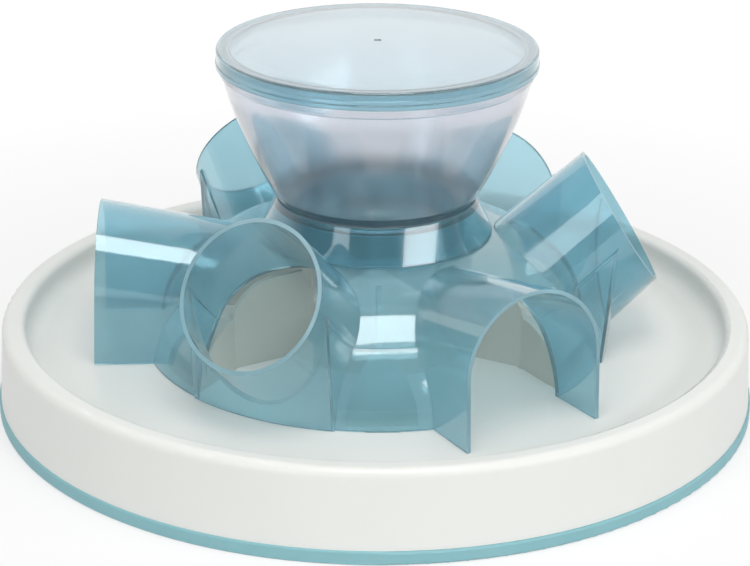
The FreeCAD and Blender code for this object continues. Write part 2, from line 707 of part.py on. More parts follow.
def make_bowl_lid():
    """Snap lid: skirt with a bead at its edge, raised middle panel, and a plug ring inside the bowl's rim."""
    body = new_body("bowl_lid")
    skirt_in = "(dims.bowl_rim_radius + dims.lid_clearance)"
    skirt_out = f"({skirt_in} + dims.lid_wall)"
    under = f"({BOWL_RIM} + dims.lid_clearance)"
    edge = f"({under} + dims.lid_wall)"
    foot = f"({edge} - dims.lid_skirt)"
    bead_out = f"({skirt_out} + dims.lid_bead_proud)"
    bead_top = f"({foot} + dims.lid_bead_height)"
    plug_out = "(dims.bowl_rim_radius - dims.bowl_lip_proud - dims.bowl_wall - dims.lid_clearance)"
    plug_in = f"({plug_out} - dims.lid_plug_width)"
    panel = f"({edge} + dims.lid_panel_rise)"
    crown_arc = "((dims.lid_panel_radius ^ 2 + dims.lid_crown ^ 2) / (2 * dims.lid_crown))"
    centre = f"({panel} + dims.lid_crown)"
    turned(body, "lid", [
        (skirt_in, foot),
        (bead_out, foot),
        (bead_out, bead_top),
        (skirt_out, f"{bead_top} + dims.lid_bead_proud"),
        (skirt_out, f"{edge} - dims.lid_edge_round"),
        (f"{skirt_out} - dims.lid_edge_round", edge, "dims.lid_edge_round"),
        ("dims.lid_panel_radius + dims.lid_panel_rise", edge),
        ("dims.lid_panel_radius", panel),
        ("0", centre, crown_arc),
        ("0", f"{centre} - dims.lid_wall"),
        ("dims.lid_panel_radius", f"{panel} - dims.lid_wall", f"-{crown_arc}"),
        (plug_in, under),
        (plug_in, f"{under} - dims.lid_plug_depth"),
        (plug_out, f"{under} - dims.lid_plug_depth"),
        (plug_out, under),
        (skirt_in, under),
    ])
    mark = disc(body, "mark_outline", "XY_Plane", "dims.lid_mark_radius", offset={"z": f"{centre} + {PAST}"})
    pushed(body, "mark", mark, f"dims.lid_mark_depth + {PAST}", kind="Pocket")
    return body


def faults():
    """What is wrong with the document: failed objects, and cuts that took nothing away."""
    found = []
    for item in doc.Objects:
        if any(word in ("Invalid", "Error") for word in item.State):
            found.append(f"{item.Name} has the state {item.State}")
        if item.TypeId in ("PartDesign::Pocket", "PartDesign::Groove"):
            before = item.BaseFeature.Shape.Volume
            if item.Shape.Volume > before - 1e-3:
                found.append(f"{item.Name} cuts nothing")
        if item.TypeId in ("PartDesign::Pad", "PartDesign::Revolution") and item.BaseFeature is not None:
            if item.Shape.Volume < item.BaseFeature.Shape.Volume + 1e-3:
                found.append(f"{item.Name} adds nothing")
    return found


nodes = [make_non_slip_ring(), make_base_tray(), make_chamber_divider()]
nodes += make_hood()
nodes += [make_bowl_collar(), make_food_bowl(), make_bowl_lid()]
doc.recompute()

problems = faults()
for node in nodes:
    if node.Shape.isNull() or not node.Shape.isValid():
        problems.append(f"{node.Label} has no valid shape")
if problems:
    raise RuntimeError("; ".join(problems))

os.makedirs("parts", exist_ok=True)
for node in nodes:
    box = node.Shape.optimalBoundingBox(False, False)
    print(f"{node.Label}: {len(node.Shape.Solids)} solid, {node.Shape.Volume / 1000:.1f} cm3, "
          f"{box.XLength:.1f} x {box.YLength:.1f} x {box.ZLength:.1f} mm")
    node.Shape.exportStep(f"parts/{node.Label}.step")
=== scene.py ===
import math

import bpy
from mathutils import Matrix, Vector


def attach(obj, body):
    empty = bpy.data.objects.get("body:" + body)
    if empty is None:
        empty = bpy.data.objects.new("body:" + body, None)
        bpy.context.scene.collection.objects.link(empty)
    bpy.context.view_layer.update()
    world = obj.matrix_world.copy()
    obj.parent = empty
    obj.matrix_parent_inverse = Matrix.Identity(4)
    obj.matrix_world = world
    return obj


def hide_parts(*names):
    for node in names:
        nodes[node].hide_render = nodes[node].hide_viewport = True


# Cat puzzle feeder: a white tray on a rubber ring, a clear teal hood with three low arches and three raised
# tubes over a white divider, and a hopper bowl with a snap lid. Metres, +Z up, the front towards -Y.

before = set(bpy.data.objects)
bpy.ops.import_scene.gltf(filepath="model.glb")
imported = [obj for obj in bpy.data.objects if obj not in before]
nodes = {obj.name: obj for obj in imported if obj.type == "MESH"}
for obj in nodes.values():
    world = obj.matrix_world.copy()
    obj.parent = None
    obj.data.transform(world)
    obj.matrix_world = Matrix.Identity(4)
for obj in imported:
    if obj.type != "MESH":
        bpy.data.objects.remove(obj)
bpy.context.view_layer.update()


# Rubber ring: the soft teal foot that keeps the tray from sliding. It is moulded as one ring, and the tongue
# of the tray wall is pressed into the groove in its top.
MM = 0.001
RUBBER_CLOUD = 18 * MM
RUBBER_GRAIN = 0.5 * MM
RUBBER_GRAIN_DEPTH = 0.015 * MM


class Level:
    """A value that changes over a surface, usable in sums such as 1 - level."""

    def __init__(self, finish, socket):
        self.finish = finish
        self.socket = socket

    def maths(self, operation, first, second):
        return self.finish.node("ShaderNodeMath", {"operation": operation}, {0: first, 1: second})

    def __add__(self, other):
        return self.maths("ADD", self, other)

    def __sub__(self, other):
        return self.maths("SUBTRACT", self, other)

    def __rsub__(self, other):
        return self.maths("SUBTRACT", other, self)

    def __mul__(self, other):
        return self.maths("MULTIPLY", self, other)

    __radd__ = __add__
    __rmul__ = __mul__


class Finish:
    """The look of a material or of the room, put together node by node."""

    def __init__(self, owner):
        self.owner = owner
        owner.use_nodes = True
        self.tree = owner.node_tree
        self.tree.nodes.clear()

    def node(self, kind, settings=None, inputs=None, output=0):
        """Add a node: its settings come first, then the values or links of its sockets."""
        node = self.tree.nodes.new(kind)
        for key, setting in (settings or {}).items():
            setattr(node, key, setting)
        for key, source in (inputs or {}).items():
            if isinstance(source, Level):
                self.tree.links.new(source.socket, node.inputs[key])
            else:
                node.inputs[key].default_value = source
        return Level(self, node.outputs[output])

    def noise(self, size, detail=2.0):
        """Soft random patches of about the given size, from 0 to 1."""
        point = self.node("ShaderNodeTexCoord", output="Object")
        return self.node("ShaderNodeTexNoise", inputs={"Vector": point, "Scale": 1 / size, "Detail": detail})

    def blend(self, level, first, second):
        """The first colour where the level is 0, and the second where it is 1."""
        return self.node("ShaderNodeMix", {"data_type": "RGBA"}, {0: level, 6: first, 7: second}, output=2)

    def bump(self, height, depth):
        """A surface that rises by the depth where the height is 1."""
        return self.node("ShaderNodeBump", inputs={"Height": height, "Distance": depth, "Strength": 1.0})

    def close(self, surface, kind="ShaderNodeOutputMaterial"):
        """Join the shader to the output."""
        target = self.tree.nodes.new(kind)
        self.tree.links.new(surface.socket, target.inputs["Surface"])
        return self.owner


def new_finish(name):
    return Finish(bpy.data.materials.new(name))


def tone(red, green, blue):
    """A colour written as on a screen, 0 to 255, as the linear colour that a shader takes. The numbers are
    those of the sRGB curve."""
    shares = [channel / 255 for channel in (red, green, blue)]
    linear = [share / 12.92 if share < 0.04 else ((share + 0.055) / 1.055) ** 2.4 for share in shares]
    return (*linear, 1.0)


def dress(piece, material):
    """Give a whole piece one material."""
    if not piece.material_slots:
        piece.data.materials.append(material)
    for slot in piece.material_slots:
        slot.material = material


def soft_rubber():
    """Rubber with a fine grain, a little paler in soft patches."""
    finish = new_finish("soft_rubber")
    deeper = tone(128, 180, 188)
    paler = tone(141, 190, 197)
    cloud = finish.noise(RUBBER_CLOUD)
    grain = finish.noise(RUBBER_GRAIN)
    return finish.close(finish.node("ShaderNodeBsdfPrincipled", inputs={
        "Base Color": finish.blend(cloud, deeper, paler),
        "Roughness": 0.46 + grain * 0.12,
        "IOR": 1.5,
        "Normal": finish.bump(grain, RUBBER_GRAIN_DEPTH),
    }))


dress(nodes["non_slip_ring"], soft_rubber())


# Base tray: white plastic, moulded as one shell with a rolled rim, a flat raised floor and ribs below. The
# pegs of the divider and the tabs of the hood stand in the holes in its floor.
WHITE_CLOUD = 45 * MM
WHITE_SCUFF = 0.4 * MM
WHITE_RIPPLE = 2.5 * MM
WHITE_RIPPLE_DEPTH = 0.01 * MM


def white_plastic(name, deeper, paler):
    """Moulded white plastic between two tones, with faint ripples and a patchy, half matt skin."""
    finish = new_finish(name)
    cloud = finish.noise(WHITE_CLOUD)
    scuff = finish.noise(WHITE_SCUFF, detail=4.0)
    ripple = finish.noise(WHITE_RIPPLE)
    return finish.close(finish.node("ShaderNodeBsdfPrincipled", inputs={
        "Base Color": finish.blend(cloud, deeper, paler),
        "Roughness": 0.3 + cloud * 0.06 + scuff * 0.06,
        "IOR": 1.5,
        "Normal": finish.bump(ripple, WHITE_RIPPLE_DEPTH),
    }))


tray_white = white_plastic("moulded_white", deeper=tone(229, 231, 227), paler=tone(234, 235, 231))
dress(nodes["base_tray"], tray_white)


# Chamber divider: a white moulded insert of six hollow pillars, a fin from each to the middle, and a cone
# below the bowl's outlet. Three pegs hold it in the tray floor.
ROUNDING_STEPS = 3
CAD_WELD = 0.005 * MM
FLAT_WITHIN = math.radians(0.2)


def pick(piece):
    """Select this piece alone and make it the active one."""
    bpy.ops.object.select_all(action="DESELECT")
    piece.select_set(True)
    bpy.context.view_layer.objects.active = piece


def soften(piece, width, sharper_than, smooth_below):
    """Round the sharp edges of a piece, and shade it smooth elsewhere. The angles are in degrees."""
    pick(piece)
    rounding = piece.modifiers.new("rounding", "BEVEL")
    rounding.width = width
    rounding.segments = ROUNDING_STEPS
    rounding.limit_method = "ANGLE"
    rounding.angle_limit = math.radians(sharper_than)
    bpy.ops.object.modifier_apply(modifier=rounding.name)
    bpy.ops.object.shade_smooth_by_angle(angle=math.radians(smooth_below))
    shading = piece.modifiers.new("shading", "WEIGHTED_NORMAL")
    shading.keep_sharp = True
    bpy.ops.object.modifier_apply(modifier=shading.name)


divider = bpy.data.objects.new("divider_insert", nodes["chamber_divider"].data.copy())
bpy.context.collection.objects.link(divider)
pick(divider)
bpy.ops.object.mode_set(mode="EDIT")
bpy.ops.mesh.select_all(action="SELECT")
bpy.ops.mesh.remove_doubles(threshold=CAD_WELD)
bpy.ops.mesh.dissolve_limited(angle_limit=FLAT_WITHIN)
bpy.ops.object.mode_set(mode="OBJECT")
soften(divider, width=0.5 * MM, sharper_than=35, smooth_below=30)
# The divider is painted a little darker and greyer than the tray's white. This is painted shade for the dim
# inside of the chamber under the hood and the bowl.
dress(divider, white_plastic("white_with_painted_shade", deeper=tone(206, 207, 198), paler=tone(212, 213, 205)))
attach(divider, "base")
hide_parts("chamber_divider")


# Hood: clear teal plastic, 2 mm thick, moulded as one with its three arches, three raised tubes on their
# housings and the neck for the bowl's spigot. Three tabs below its foot stand in the tray floor.
WALL = 2.0 * MM
FLOOR = 30.0 * MM
FOOT = FLOOR + 0.3 * MM
SHOULDER = FLOOR + 36.2 * MM
TOP = FLOOR + 60.0 * MM
NECK_TOP = TOP + 12.5 * MM
NECK_RADIUS = 45.4 * MM
FOOT_RADIUS = 119.0 * MM
SHOULDER_RADIUS = 102.8 * MM
STEP_RADIUS = 101.3 * MM
TOP_RADIUS = 52.0 * MM
SIDE_ARC = 60.0 * MM
TOP_ARC = ((STEP_RADIUS - TOP_RADIUS) ** 2 + (TOP - SHOULDER) ** 2) / (2 * (TOP - SHOULDER))
ARC_STEP = math.radians(2.5)
PAST = 1.0 * MM
WELD = 0.001 * MM


def arc(start, end, radius):
    """The points between the ends of an arc, which turns left when its radius is positive."""
    start, end = Vector(start), Vector(end)
    size = abs(radius)
    chord = end - start
    reach = math.sqrt(max(size ** 2 - (chord.length / 2) ** 2, 0.0))
    left = Vector((-chord.y, chord.x)).normalized()
    centre = (start + end) / 2 + left * reach * math.copysign(1.0, radius)
    first = math.atan2(start.y - centre.y, start.x - centre.x)
    sweep = 2 * math.asin(min(chord.length / 2 / size, 1.0)) * math.copysign(1.0, radius)
    count = max(4, math.ceil(abs(sweep) / ARC_STEP))
    angles = [first + sweep * step / count for step in range(1, count)]
    return [(centre.x + size * math.cos(angle), centre.y + size * math.sin(angle)) for angle in angles]


def outline(*corners):
    """The points of an outline. A corner is (x, y), or (x, y, radius) when the side up to it is an arc."""
    points = []
    for index, corner in enumerate(corners):
        if len(corner) == 3:
            points += arc(corners[index - 1][:2], corner[:2], corner[2])
        points.append(corner[:2])
    return points


def wire(name, points):
    """A new piece, open in edit mode: a wire through the points."""
    bpy.ops.object.select_all(action="DESELECT")
    bpy.ops.mesh.primitive_plane_add(size=MM, location=(0, 0, 0))
    piece = bpy.context.object
    piece.name = piece.data.name = name
    bpy.ops.object.mode_set(mode="EDIT")
    bpy.ops.mesh.select_all(action="SELECT")
    bpy.ops.mesh.merge(type="CENTER")
    bpy.ops.transform.translate(value=points[0])
    for here, there in zip(points, points[1:]):
        move = Vector(there) - Vector(here)
        bpy.ops.mesh.extrude_region_move(TRANSFORM_OT_translate={"value": move})
    bpy.ops.mesh.select_all(action="SELECT")
    bpy.ops.mesh.remove_doubles(threshold=WELD)
    return piece


def finish_mesh():
    """Merge what lies together, turn all faces outwards and leave edit mode."""
    bpy.ops.mesh.select_all(action="SELECT")
    bpy.ops.mesh.remove_doubles(threshold=WELD)
    bpy.ops.mesh.delete_loose(use_verts=True, use_edges=True, use_faces=False)
    bpy.ops.mesh.select_all(action="SELECT")
    bpy.ops.mesh.normals_make_consistent(inside=False)
    bpy.ops.object.mode_set(mode="OBJECT")


def turned(name, corners, steps=192):
    """A piece turned about Z from an outline whose points are (radius, height)."""
    points = [(radius, 0, height) for radius, height in outline(*corners)]
    if points[0][0] > 0:
        points.append(points[0])
    piece = wire(name, points)
    bpy.ops.mesh.select_all(action="SELECT")
    bpy.ops.mesh.spin(steps=steps, angle=2 * math.pi, center=(0, 0, 0), axis=(0, 0, 1))
    finish_mesh()
    return piece


def pushed(name, points, move, narrowing=1.0, about=(0, 0, 0)):
    """A piece pushed out from a flat outline. Its far end can be narrower, about a point."""
    piece = wire(name, points + points[:1])
    bpy.ops.mesh.edge_face_add()
    bpy.ops.mesh.extrude_region_move(TRANSFORM_OT_translate={"value": move})
    bpy.ops.transform.resize(value=(narrowing, narrowing, narrowing), center_override=about)
    finish_mesh()
    return piece


def sliced(piece, point, normal):
    """Cut away the side of a piece that a plane's normal points to, and close the cut."""
    pick(piece)
    bpy.ops.object.mode_set(mode="EDIT")
    bpy.ops.mesh.select_all(action="SELECT")
    bpy.ops.mesh.bisect(plane_co=point, plane_no=normal, use_fill=True, clear_outer=True)
    finish_mesh()
    return piece


def combined(base, tool, operation):
    """The first piece after a boolean with the second, which is used up."""
    pick(base)
    step = base.modifiers.new("combined", "BOOLEAN")
    step.operation = operation
    step.solver = "MANIFOLD"
    step.object = tool
    bpy.ops.object.modifier_apply(modifier=step.name)
    bpy.data.objects.remove(tool)
    return base


def swung(piece, angle):
    """The piece turned about the Z axis by an angle in degrees, with its place kept in its mesh."""
    pick(piece)
    bpy.ops.object.transform_apply(location=True, rotation=True, scale=True)
    piece.rotation_euler.z = math.radians(angle)
    bpy.ops.object.transform_apply(location=True, rotation=True, scale=True)
    return piece


def dome_space(inset):
    """The solid dome and neck down to the tray floor, or the space inside them when it is inset."""
    share = (TOP_ARC - inset) / TOP_ARC
    bend = (
        TOP_RADIUS + (STEP_RADIUS - TOP_RADIUS) * share,
        TOP - TOP_ARC + (TOP_ARC - TOP + SHOULDER) * share)
    foot = FOOT_RADIUS - inset
    below = FLOOR - PAST - inset
    corners = [(0, below), (foot, below), (foot, FOOT)]
    if inset:
        corners.append((*bend, SIDE_ARC - inset))
    else:
        corners += [(SHOULDER_RADIUS, SHOULDER, SIDE_ARC), bend]
    neck = NECK_RADIUS - inset
    past = PAST if inset else 0.0
    corners += [(TOP_RADIUS, TOP - inset, TOP_ARC - inset), (neck, TOP - inset), (neck, NECK_TOP + past)]
    corners.append((0, NECK_TOP + past))
    return turned("dome", corners, steps=240)


ARCH_ANGLES = (60, 180, 300)
ARCH_HALF_WIDTH = 38.0 * MM
ARCH_CROWN = FLOOR + 74.0 * MM
ARCH_MOUTH = 143.0 * MM
ARCH_END = 58.0 * MM
ARCH_SLOPE = math.radians(9.6)
ARCH_DRAFT = math.radians(1.4)
ARCH_LEAN = math.radians(2.0)


def arch_space(inset):
    """The solid arch along +X, or the space inside it when it is inset. It narrows and falls inwards, and
    runs down to the tray floor or past it."""
    ahead = ARCH_HALF_WIDTH
    start = ARCH_MOUTH + ahead
    half = ARCH_HALF_WIDTH - inset + ahead * math.tan(ARCH_DRAFT)
    spring = ARCH_CROWN - ARCH_HALF_WIDTH + ahead * math.tan(ARCH_SLOPE)
    run = start - ARCH_END
    fall = run * math.tan(ARCH_SLOPE)
    end_half = half - run * math.tan(ARCH_DRAFT)
    face = outline((-half, 0), (half, 0), (half, spring), (0, spring + half, half), (-half, spring, half))
    piece = pushed("arch", [(start, y, z) for y, z in face], (-run, 0, -fall), narrowing=end_half / half,
                   about=(ARCH_END, 0, spring - fall))
    sliced(piece, (0, 0, FLOOR - PAST * 2 - inset), (0, 0, -1))
    if not inset:
        sliced(piece, (ARCH_MOUTH, 0, FOOT), (math.cos(ARCH_LEAN), 0, math.sin(ARCH_LEAN)))
    return piece


TUBE_ANGLES = (0, 120, 240)
TUBE_RADIUS = 37.0 * MM
TUBE_DRAFT = math.radians(2.5)
TUBE_TILT = math.radians(43.3)
TUBE_MOUTH_TILT = math.radians(31.9)
TUBE_MOUTH = Vector((124.6 * MM, 0, FLOOR + 66.1 * MM))
HOUSING_HALF_WIDTH = 39.0 * MM
HOUSING_FRONT = 120.3 * MM
HOUSING_LEAN = math.radians(5.0)


def tube_space(inset):
    """The solid tube along +X on its housing, or the space inside them when it is inset. It runs down to the
    tray floor or past it."""
    foot = FLOOR - PAST * 3 - inset
    along = Vector((math.cos(TUBE_TILT), 0, math.sin(TUBE_TILT)))
    ahead = TUBE_RADIUS
    depth = (TUBE_MOUTH.z - foot + HOUSING_HALF_WIDTH) / math.sin(TUBE_TILT)
    bpy.ops.object.select_all(action="DESELECT")
    bpy.ops.mesh.primitive_cone_add(
        vertices=160, depth=ahead + depth, end_fill_type="NGON",
        radius1=TUBE_RADIUS - inset + depth * math.tan(TUBE_DRAFT),
        radius2=TUBE_RADIUS - inset - ahead * math.tan(TUBE_DRAFT),
        location=TUBE_MOUTH + along * (ahead - depth) / 2,
        rotation=(0, math.pi / 2 - TUBE_TILT, 0))
    tube = bpy.context.object
    bpy.ops.object.transform_apply(location=True, rotation=True, scale=True)
    top = TUBE_MOUTH.z - inset / math.cos(TUBE_TILT)
    half = HOUSING_HALF_WIDTH - inset
    low = foot - PAST
    back = TUBE_MOUTH.x - (top - low) / math.tan(TUBE_TILT)
    block = [(back, -half, low), (TUBE_MOUTH.x, -half, low), (TUBE_MOUTH.x, -half, top)]
    housing = pushed("housing", block, (0, 2 * half, 0))
    low -= PAST
    height = TUBE_MOUTH.z + PAST - low
    front = HOUSING_FRONT - inset + (low - FOOT) * math.tan(HOUSING_LEAN)
    bpy.ops.object.select_all(action="DESELECT")
    bpy.ops.mesh.primitive_cone_add(
        vertices=320, depth=height, end_fill_type="NGON",
        radius1=front,
        radius2=front + height * math.tan(HOUSING_LEAN),
        location=(0, 0, low + height / 2))
    drum = bpy.context.object
    bpy.ops.object.transform_apply(location=True, rotation=True, scale=True)
    combined(housing, drum, "INTERSECT")
    combined(tube, housing, "UNION")
    sliced(tube, (0, 0, foot), (0, 0, -1))
    if not inset:
        sliced(tube, TUBE_MOUTH, (math.cos(TUBE_MOUTH_TILT), 0, math.sin(TUBE_MOUTH_TILT)))
    return tube


def hood_space(inset):
    """Dome, arches and tubes in one: solid, or the space inside them when it is inset."""
    whole = dome_space(inset)
    for angle in ARCH_ANGLES:
        combined(whole, swung(arch_space(inset), angle), "UNION")
    for angle in TUBE_ANGLES:
        combined(whole, swung(tube_space(inset), angle), "UNION")
    return whole


TAB_ANGLES = (30, 150, 270)
TAB_WIDTH = 16.0 * MM
TAB_DEPTH = 5.0 * MM
TAB_THICKNESS = 1.8 * MM
TAB_MIDDLE = 117.5 * MM
hood = combined(hood_space(0.0), hood_space(WALL), "DIFFERENCE")
sliced(hood, (0, 0, FOOT), (0, 0, -1))
hood.name = hood.data.name = "hood_shell"
for angle in TAB_ANGLES:
    bpy.ops.object.select_all(action="DESELECT")
    bpy.ops.mesh.primitive_cube_add(size=1, location=(TAB_MIDDLE, 0, FOOT - (TAB_DEPTH - WALL) / 2))
    tab = bpy.context.object
    tab.scale = (TAB_THICKNESS, TAB_WIDTH, TAB_DEPTH + WALL)
    combined(hood, swung(tab, angle), "UNION")
soften(hood, width=0.45 * MM, sharper_than=50, smooth_below=25)

CLEAR_CLOUD = 30 * MM
CLEAR_HAZE = 9 * MM
CLEAR_RIPPLE = 7 * MM
CLEAR_RIPPLE_DEPTH = 0.002 * MM
CLEAR_BENDING = 1.49


def clear_plastic(name, tint, clarity, blur, gloss, shade, coat=0.6):
    """Clear plastic. The tint is the share of the light that a wall lets through, the clarity is how much of
    it isn't milky, the blur is the roughness of what shows through, the gloss is the roughness of its skin,
    and the shade is the share of a lamp's light that passes each side of a wall."""
    finish = new_finish(name)
    cloud = finish.noise(CLEAR_CLOUD)
    haze = finish.noise(CLEAR_HAZE)
    ripple = finish.noise(CLEAR_RIPPLE)
    deeper = [share * 0.94 for share in tint]
    plastic = finish.node("ShaderNodeBsdfPrincipled", inputs={
        "Base Color": finish.blend(cloud, (*tint, 1.0), (*deeper, 1.0)),
        "Transmission Weight": clarity,
        "Roughness": blur + haze * (blur * 0.4),
        "IOR": CLEAR_BENDING,
        "Coat Weight": coat,
        "Coat Roughness": gloss,
        "Coat IOR": CLEAR_BENDING,
        "Normal": finish.bump(ripple, CLEAR_RIPPLE_DEPTH),
    })
    lamp_light = finish.node("ShaderNodeBsdfTransparent", inputs={"Color": (*shade, 1.0)})
    is_shadow = finish.node("ShaderNodeLightPath", output="Is Shadow Ray")
    return finish.close(finish.node("ShaderNodeMixShader", inputs={0: is_shadow, 1: plastic, 2: lamp_light}))


RIM_DEPTH = 0.35 * MM
MOUTH_REACH = 2.2 * TUBE_RADIUS
mouths = [(angle, TUBE_MOUTH, TUBE_MOUTH_TILT) for angle in TUBE_ANGLES]
mouths += [(angle, Vector((ARCH_MOUTH, 0, FOOT)), ARCH_LEAN) for angle in ARCH_ANGLES]


def on_rim(place):
    """Whether a face lies on the cut rim of one of the six mouths."""
    for angle, mouth, tilt in mouths:
        out = Vector((math.cos(tilt), 0, math.sin(tilt)))
        turn = Matrix.Rotation(math.radians(angle), 3, "Z")
        gap = place - turn @ mouth
        if abs(gap.dot(turn @ out)) < RIM_DEPTH and gap.length < MOUTH_REACH:
            return True
    return False


HOOD_SHADE = (0.60, 0.62, 0.63)
teal = clear_plastic(
    "clear_teal", tint=(0.46, 0.77, 0.87), clarity=0.84, blur=0.07, gloss=0.02, shade=HOOD_SHADE)
teal_rim = clear_plastic(
    "clear_teal_rim", tint=(0.40, 0.68, 0.78), clarity=0.5, blur=0.3, gloss=0.05, shade=HOOD_SHADE)
dress(hood, teal)
hood.data.materials.append(teal_rim)
for face in hood.data.polygons:
    face.material_index = 1 if on_rim(face.center) else 0
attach(hood, "hood")
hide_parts("hood_dome", "raised_tube_right", "raised_tube_rear", "raised_tube_front",
            "arch_tunnel_rear", "arch_tunnel_left", "arch_tunnel_front")


# Bowl collar: a clear teal skirt below the bowl, moulded with an inner flange that snaps over the bead of the
# bowl's spigot. The bowl's foot sits in it.
COLLAR_FOOT = TOP + 0.3 * MM
COLLAR_FOOT_IN = 57.5 * MM
COLLAR_FOOT_OUT = 59.5 * MM
COLLAR_TOP = COLLAR_FOOT + 17.5 * MM
COLLAR_TOP_IN = 50.3 * MM
COLLAR_TOP_OUT = 51.0 * MM
SEAT = COLLAR_TOP - 2.0 * MM
FLANGE = SEAT - 2.0 * MM
FLANGE_OUT = 50.9 * MM
SPIGOT_RADIUS = 43.0 * MM
BOWL_FOOT_RADIUS = 48.7 * MM
COLLAR_PLAY = 0.1 * MM
collar = turned("collar", [
    (COLLAR_FOOT_IN, COLLAR_FOOT),
    (COLLAR_FOOT_OUT, COLLAR_FOOT),
    (COLLAR_TOP_OUT, COLLAR_TOP),
    (COLLAR_TOP_IN, COLLAR_TOP),
    (BOWL_FOOT_RADIUS + COLLAR_PLAY, SEAT),
    (SPIGOT_RADIUS + COLLAR_PLAY, SEAT),
    (SPIGOT_RADIUS + COLLAR_PLAY, FLANGE),
    (FLANGE_OUT, FLANGE),
])
soften(collar, width=0.3 * MM, sharper_than=30, smooth_below=25)
COLLAR_SHADE = (0.50, 0.52, 0.53)
deep_teal = clear_plastic(
    "clear_teal_collar", tint=(0.30, 0.60, 0.70), clarity=0.84, blur=0.07, gloss=0.02, shade=COLLAR_SHADE)
dress(collar, deep_teal)
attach(collar, "bowl")
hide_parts("bowl_collar")


# Hopper bowl: lightly frosted clear plastic, with a thicker lip for the lid, a sloping floor and the spigot
# that plugs into the neck of the hood.
BOWL_WALL = 2.0 * MM
BOWL_RIM = SEAT + 78.5 * MM
BOWL_RADIUS = 78.6 * MM
BOWL_SIDE = 77.6 * MM
BOWL_ARC = 230.0 * MM
LIP = BOWL_RIM - 12.0 * MM
LIP_TAPER = 1.0 * MM
FUNNEL_RADIUS = BOWL_FOOT_RADIUS + 2.0 * MM
FUNNEL_TOP = SEAT + 7.0 * MM
BORE = 40.5 * MM
SPIGOT_FOOT = SEAT - 22.0 * MM
BEAD = 0.5 * MM
BEAD_FOOT = FLANGE - 0.9 * MM
BEAD_BULGE = FLANGE - 0.45 * MM
bowl = turned("bowl", [
    (BORE, SPIGOT_FOOT),
    (SPIGOT_RADIUS, SPIGOT_FOOT),
    (SPIGOT_RADIUS, BEAD_FOOT),
    (SPIGOT_RADIUS + BEAD, BEAD_BULGE),
    (SPIGOT_RADIUS + BEAD, FLANGE),
    (SPIGOT_RADIUS, FLANGE),
    (SPIGOT_RADIUS, SEAT),
    (BOWL_FOOT_RADIUS, SEAT),
    (BOWL_SIDE, LIP, BOWL_ARC),
    (BOWL_RADIUS, LIP + LIP_TAPER),
    (BOWL_RADIUS, BOWL_RIM),
    (BOWL_SIDE - BOWL_WALL, BOWL_RIM),
    (BOWL_SIDE - BOWL_WALL, LIP),
    (FUNNEL_RADIUS, FUNNEL_TOP, -(BOWL_ARC - BOWL_WALL)),
    (BORE, SEAT),
])
soften(bowl, width=0.3 * MM, sharper_than=25, smooth_below=24)
BOWL_SHADE = (0.62, 0.62, 0.62)
frosted = clear_plastic(
    "frosted_clear", tint=(0.86, 0.88, 0.93), clarity=0.95, blur=0.12, gloss=0.06, shade=BOWL_SHADE)
dress(bowl, frosted)
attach(bowl, "bowl")
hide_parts("food_bowl")


# Bowl lid: thin clear plastic with a pale teal tint and a slightly raised, crowned middle. A skirt grips the
# bowl's lip from outside and a plug ring from inside, and the gate left a small dimple in the centre.
LID_WALL = 1.5 * MM
LID_PLAY = 0.3 * MM
UNDER = BOWL_RIM + LID_PLAY
EDGE = UNDER + LID_WALL
EDGE_ROUNDING = 1.2 * MM
SKIRT_FOOT = EDGE - 8.7 * MM
SKIRT_IN = BOWL_RADIUS + LID_PLAY
SKIRT_OUT = SKIRT_IN + LID_WALL
HEM = 0.4 * MM
HEM_TOP = SKIRT_FOOT + 2.2 * MM
HEM_END = SKIRT_FOOT + 2.6 * MM
PANEL_RADIUS = 66.0 * MM
PANEL_FOOT_RADIUS = PANEL_RADIUS + 5.0 * MM
PANEL = EDGE + 0.8 * MM
CROWN = 1.8 * MM
CROWN_ARC = (PANEL_RADIUS ** 2 + CROWN ** 2) / (2 * CROWN)
PLUG_FOOT = UNDER - 4.0 * MM
PLUG_OUT = BOWL_SIDE - BOWL_WALL - LID_PLAY
PLUG_IN = PLUG_OUT - 1.6 * MM
MARK_RADIUS = 2.0 * MM
MARK_FLOOR_RADIUS = MARK_RADIUS * 0.8
MARK_DEPTH = 0.5 * MM
MARK_TOP = PANEL + CROWN - MARK_RADIUS ** 2 / (2 * CROWN_ARC)
lid = turned("lid", [
    (SKIRT_IN, SKIRT_FOOT),
    (SKIRT_OUT + HEM, SKIRT_FOOT),
    (SKIRT_OUT + HEM, HEM_TOP),
    (SKIRT_OUT, HEM_END),
    (SKIRT_OUT, EDGE - EDGE_ROUNDING),
    (SKIRT_OUT - EDGE_ROUNDING, EDGE, EDGE_ROUNDING),
    (PANEL_FOOT_RADIUS, EDGE),
    (PANEL_RADIUS, PANEL),
    (MARK_RADIUS, MARK_TOP, CROWN_ARC),
    (MARK_FLOOR_RADIUS, MARK_TOP - MARK_DEPTH),
    (0, MARK_TOP - MARK_DEPTH),
    (0, PANEL + CROWN - LID_WALL),
    (PANEL_RADIUS, PANEL - LID_WALL, -CROWN_ARC),
    (PLUG_IN, UNDER),
    (PLUG_IN, PLUG_FOOT),
    (PLUG_OUT, PLUG_FOOT),
    (PLUG_OUT, UNDER),
    (SKIRT_IN, UNDER),
])
soften(lid, width=0.25 * MM, sharper_than=30, smooth_below=25)
LID_SHADE = (0.80, 0.84, 0.86)
tinted = clear_plastic(
    "tinted_clear", tint=(0.66, 0.82, 0.88), clarity=0.9, blur=0.05, gloss=0.02, shade=LID_SHADE, coat=1.0)
tinted_skirt = clear_plastic(
    "tinted_clear_skirt", tint=(0.42, 0.70, 0.78), clarity=0.86, blur=0.05, gloss=0.02, shade=LID_SHADE)
dress(lid, tinted)
lid.data.materials.append(tinted_skirt)
SKIRT_BEYOND = SKIRT_IN - 0.2 * MM
SKIRT_BELOW = EDGE - 0.4 * MM
